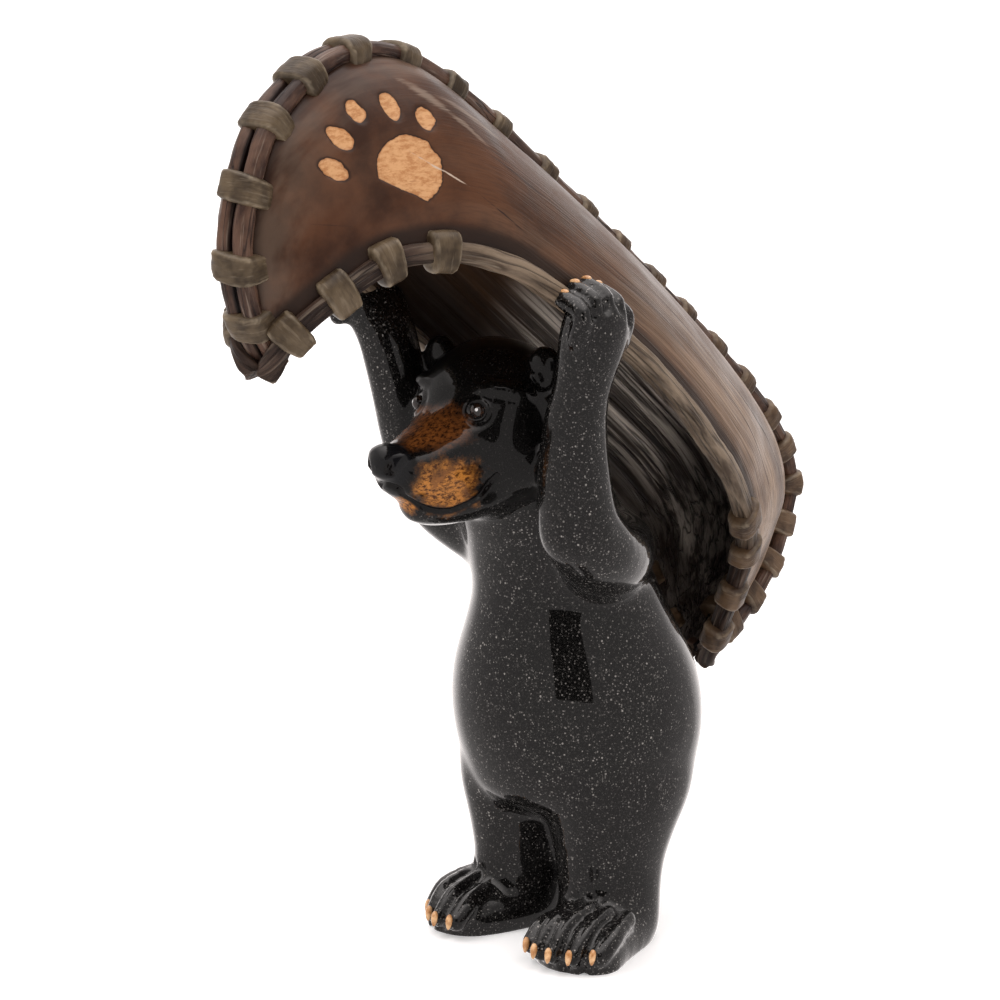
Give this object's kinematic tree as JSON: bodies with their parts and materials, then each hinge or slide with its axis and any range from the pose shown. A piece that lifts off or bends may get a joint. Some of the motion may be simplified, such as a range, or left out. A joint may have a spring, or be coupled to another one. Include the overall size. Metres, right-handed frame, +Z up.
{
  "type": "bear figurine",
  "caption": "Standing glossy black bear ornament that holds an upturned brown canoe over its head with its front paws; sewn rims, carved paw print, flat soles.",
  "frame": {"origin": "middle of the bounding box's bottom, on the surface the soles stand on", "axes": "+Z up; the bear looks along -Y, the way the canoe's bow points; +X is the bear's left"},
  "size_m": [0.0898, 0.2188, 0.2372],
  "materials": {
    "gloss_black_resin": "black with fine pale flecks under a clear gloss coat",
    "bark_brown_resin": "painted bark brown, satin, with grey-tan lashings"
  },
  "bodies": {
    "root": {"bear": "gloss_black_resin", "canoe": "bark_brown_resin"}
  },
  "joints": []
}
